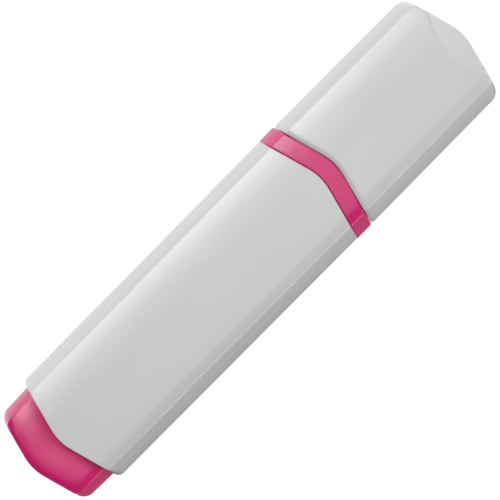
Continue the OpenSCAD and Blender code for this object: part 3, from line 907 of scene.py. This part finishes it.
def fibre(name, deep, light, scale, height):
    """Bonded fibre: strands drawn along the pen, with painted shade in the hollows between them.
    """
    material, shader, add, feed = tree(name)
    strands = grain(add, scale, 4, (0.12, 1, 1), 0.65)
    both = reckon(add, "MULTIPLY", strands, grain(add, scale * 0.55, 3))
    # Painted shade: the colour goes to the deep one where the strands' bump is low, in the hollows
    # between them.
    feed("Base Color", tint(add, both, deep, light, 0.12, 0.42))
    feed("Roughness", spread(add, strands, 0.75, 0.95))
    bump = add("ShaderNodeBump", {"Height": both, "Distance": height * MM, "Strength": 0.9})
    feed("Normal", bump.outputs["Normal"])
    hold(shader, {"Sheen Weight": 0.25, "Sheen Roughness": 0.5, "IOR": 1.4})
    return material


def film(name, dark, light, rough, clear):
    """Thin natural plastic: milky streaks along its length, let through by clear."""
    material, shader, add, feed = tree(name)
    feed("Base Color", tint(add, grain(add, 400, 3, (0.05, 1, 1)), dark, light))
    streaks = grain(add, 1200, 3, (0.1, 1, 1))
    feed("Roughness", spread(add, streaks, rough - 0.05, rough + 0.06))
    bump = add("ShaderNodeBump", {
        "Height": grain(add, 800, 2, (0.1, 1, 1)), "Distance": 0.006 * MM, "Strength": 0.5})
    feed("Normal", bump.outputs["Normal"])
    hold(shader, {"Transmission Weight": clear})
    return material


white_plastic = moulded("white_plastic", (0.624, 0.626, 0.626), (0.650, 0.652, 0.652), 0.17)
# Both pinks carry painted light, a faint pink emission that lifts them in shade; the plug's copy
# has a darker base and a stronger emission.
plug_plastic = moulded("plug_plastic", (0.460, 0.0134, 0.115), (0.492, 0.0159, 0.127), 0.21,
                       depth=2.0, painted_glow=0.14)
section_plastic = moulded("section_plastic", (0.570, 0.0191, 0.150), (0.610, 0.0226, 0.166), 0.21,
                          depth=2.0, painted_glow=0.06)
liner_plastic = moulded("liner_plastic", (0.78, 0.78, 0.75), (0.86, 0.86, 0.83), 0.48, peel=0.02)
# The first, deeper colour of each fibre is the painted shade in its hollows.
inked_felt = fibre("inked_felt", (0.52, 0.02, 0.12), (0.90, 0.115, 0.33), 2600, 0.05)
inked_core = fibre("inked_core", (0.60, 0.08, 0.22), (0.92, 0.26, 0.46), 1800, 0.08)
core_wrap = film("core_wrap", (0.80, 0.83, 0.85), (0.88, 0.90, 0.91), 0.18, 0.6)
breather_wall = film("breather_wall", (0.82, 0.83, 0.83), (0.90, 0.90, 0.90), 0.35, 0.15)

put("barrel_shell", barrel_grid(), white_plastic, "pen", "barrel",
    True, barrel_ribs())
put("tail_plug_shell", plug_grid(), plug_plastic, "pen", "tail_plug",
    False, plug_ribs())
put("front_section", section_grid(), section_plastic, "pen", "nib_section", True)
put("chisel_nib", nib_grid(), inked_felt, "pen", "nib")
put("cap_outer", cap_grid(), white_plastic, "cap", "cap_shell")
put("cap_liner", liner_grid(), liner_plastic, "cap", "inner_cap")
put("fibre_core", core_grid(), inked_core, "pen", "ink_core")
put("core_wrap_film", film_grid(), core_wrap, "pen", "core_film", True)
put("air_tube", tube_grid(), breather_wall, "pen", "breather_tube", True)


# Floor, light and camera

# The floor's rings, the reach of the shade under the pen's sides, and from where to where that
# shade comes back beside the pen's ends
FLOOR_RINGS = [0.0, 0.02, 0.5, 1.5, 6.0]
SHADE_REACH = 2.3 * MM
PEN_END = 57.5 * MM
SHADE_FROM = 6.0 * MM
SHADE_FULL = 9.5 * MM

# The grey card: the half length and half width of its inner edge, its width, height and turn
CARD_HALF_X = 0.060
CARD_HALF_Y = 0.0125
CARD_WIDTH = 0.08
CARD_Z = 0.0003
CARD_TURN = (170, 370)

# Soft boxes: name, degrees from straight above across and along the pen, size along and across
# the pen, and radiance. All are LIGHT_FAR from the pen.
LIGHT_FAR = 0.6
LIGHTS = [
    ("over", -10, 0, (0.13, 0.294), 1.4),
    ("top", 11, 0, (0.145, 0.153), 3.2),
    ("upper", 26, 0, (0.145, 0.169), 5.2),
    ("key", 42, 0, (0.145, 0.174), 6.3),
    ("back", 61, 0, (0.13, 0.222), 9.4),
    ("low", -75, 0, (0.13, 0.155), 6.6),
    ("low_end", -60, 48, (0.2, 0.2), 6.5),
    ("end", -25, 48, (0.2, 0.2), 6.1),
    ("along", 10, 25, (0.2, 0.26), 1.85),
    ("far", 30, 68, (0.2, 0.3), 1.25),
    ("tail", 18, -24, (0.15, 0.2), 1.5),
]
SURROUND = 0.06

# The picture: its size in pixels, the pen's turn, scale and centre in it, and the camera's lens
# and sensor in millimetres
PICTURE_PIXELS = 500
PEN_TURN = math.radians(45.3)
PIXELS_PER_MM = 5.296
PEN_CENTRE = (247.59, 251.27)
LENS = 1150.0
SENSOR = 36.0


def sheet(name, grid, material, loop):
    """A flat piece of the studio from a grid of rows in metres, faced upwards."""
    count, n, _ = grid.shape
    faces = grid_faces(count, n, False, loop)[:, ::-1].tolist()
    mesh = bpy.data.meshes.new(name)
    mesh.from_pydata(grid.reshape(-1, 3).tolist(), [], faces)
    mesh.materials.append(material)
    obj = bpy.data.objects.new(name, mesh)
    bpy.context.scene.collection.objects.link(obj)
    return obj


def floor():
    """A plain pale floor: a disc of rings, lit from below like a light table. It is darker under
    the overhang of the pen's sides. The shade fades out round the two ends, which have no overhang
    to hide it: its share rises with the distance of |X| from the pen's end."""
    material, shader, add, feed = tree("pale_floor")
    feed("Base Color", tint(add, grain(add, 6, 2), (0.10, 0.10, 0.10), (0.11, 0.11, 0.11)))
    hold(shader, {"Roughness": 0.9, "Specular IOR Level": 0.1, "Emission Color": (1, 1, 1, 1)})
    near = add("ShaderNodeAmbientOcclusion", {"Distance": SHADE_REACH}, samples=4).outputs["AO"]
    x = add("ShaderNodeSeparateXYZ", {"Vector": own_place(add)}).outputs["X"]
    off_end = reckon(add, "SUBTRACT", reckon(add, "ABSOLUTE", x), PEN_END)
    share = spread(add, reckon(add, "ABSOLUTE", off_end), 0.0, 1.0, SHADE_FROM, SHADE_FULL)
    light = add("ShaderNodeMix", {"Factor": share, "A": 1.0, "B": near}).outputs["Result"]
    feed("Emission Strength", light)
    radius = column(*FLOOR_RINGS)
    turn = np.linspace(0, 2 * math.pi, 64, endpoint=False)[None, :]
    x, y = radius * np.cos(turn), radius * np.sin(turn)
    sheet("floor", np.stack([x, y, np.zeros(x.shape)], -1), material, True)


def grey_card():
    """A grey card on the floor round the pen's lower side and ends, out of the camera's sight,
    that keeps them in shade: rows along a sixth-power oval, each further out than the last."""
    material, shader, add, feed = tree("grey_card")
    feed("Base Color", tint(add, grain(add, 6, 2), (0.40, 0.40, 0.40), (0.41, 0.41, 0.41)))
    hold(shader, {"Roughness": 1.0, "Specular IOR Level": 0.0})
    turn = np.radians(np.linspace(*CARD_TURN, 61))[None, :]
    away = np.linspace(0.0, CARD_WIDTH, 4)[:, None]
    c, s = np.cos(turn), np.sin(turn)
    x = (CARD_HALF_X + away) * np.sign(c) * np.abs(c) ** (1 / 3)
    y = (CARD_HALF_Y + away) * np.sign(s) * np.abs(s) ** (1 / 3)
    card = sheet("grey_card", np.stack([x, y, np.full(x.shape, CARD_Z)], -1), material, False)
    card.visible_camera = False
    card.visible_shadow = False


def softbox(name, across, along, size, radiance):
    """A rectangular light that faces the pen, tilted from straight above across and along it."""
    data = bpy.data.lights.new(name, "AREA")
    data.shape = "RECTANGLE"
    data.size, data.size_y = size
    data.energy = radiance * math.pi * size[0] * size[1]
    light = bpy.data.objects.new(name, data)
    bpy.context.scene.collection.objects.link(light)
    tilt = (math.tan(math.radians(along)), math.tan(math.radians(across)), 1)
    aim = Vector(tilt).normalized()
    light.location = aim * LIGHT_FAR
    light.rotation_euler = aim.to_track_quat("Z", "Y").to_euler()
    light.visible_camera = False


def world():
    """A faint even surround."""
    made = bpy.data.worlds.new("surround")
    made.use_nodes = True
    hold(made.node_tree.nodes["Background"], {"Color": (1, 1, 1, 1), "Strength": SURROUND})
    bpy.context.scene.world = made


def camera():
    """A long lens straight above the broad face, turned so that the pen points up and to the
    right. Its height gives the pen its scale in the picture, and its place puts the pen's centre
    where it belongs."""
    view_mm = PICTURE_PIXELS / PIXELS_PER_MM
    across = (PICTURE_PIXELS / 2 - PEN_CENTRE[0]) / PIXELS_PER_MM
    up = (PEN_CENTRE[1] - PICTURE_PIXELS / 2) / PIXELS_PER_MM
    x = across * math.cos(PEN_TURN) + up * math.sin(PEN_TURN)
    y = -across * math.sin(PEN_TURN) + up * math.cos(PEN_TURN)
    data = bpy.data.cameras.new("camera")
    data.lens, data.sensor_width, data.sensor_fit = LENS, SENSOR, "AUTO"
    data.clip_start, data.clip_end = 0.05, 20
    eye = bpy.data.objects.new("camera", data)
    bpy.context.scene.collection.objects.link(eye)
    eye.location = (x * MM, y * MM, (AXIS_Z + view_mm * LENS / SENSOR) * MM)
    eye.rotation_euler = (0, 0, -PEN_TURN)
    bpy.context.scene.camera = eye


floor()
grey_card()
for light in LIGHTS:
    softbox(*light)
world()
camera()
bpy.context.scene.view_settings.view_transform = "Standard"
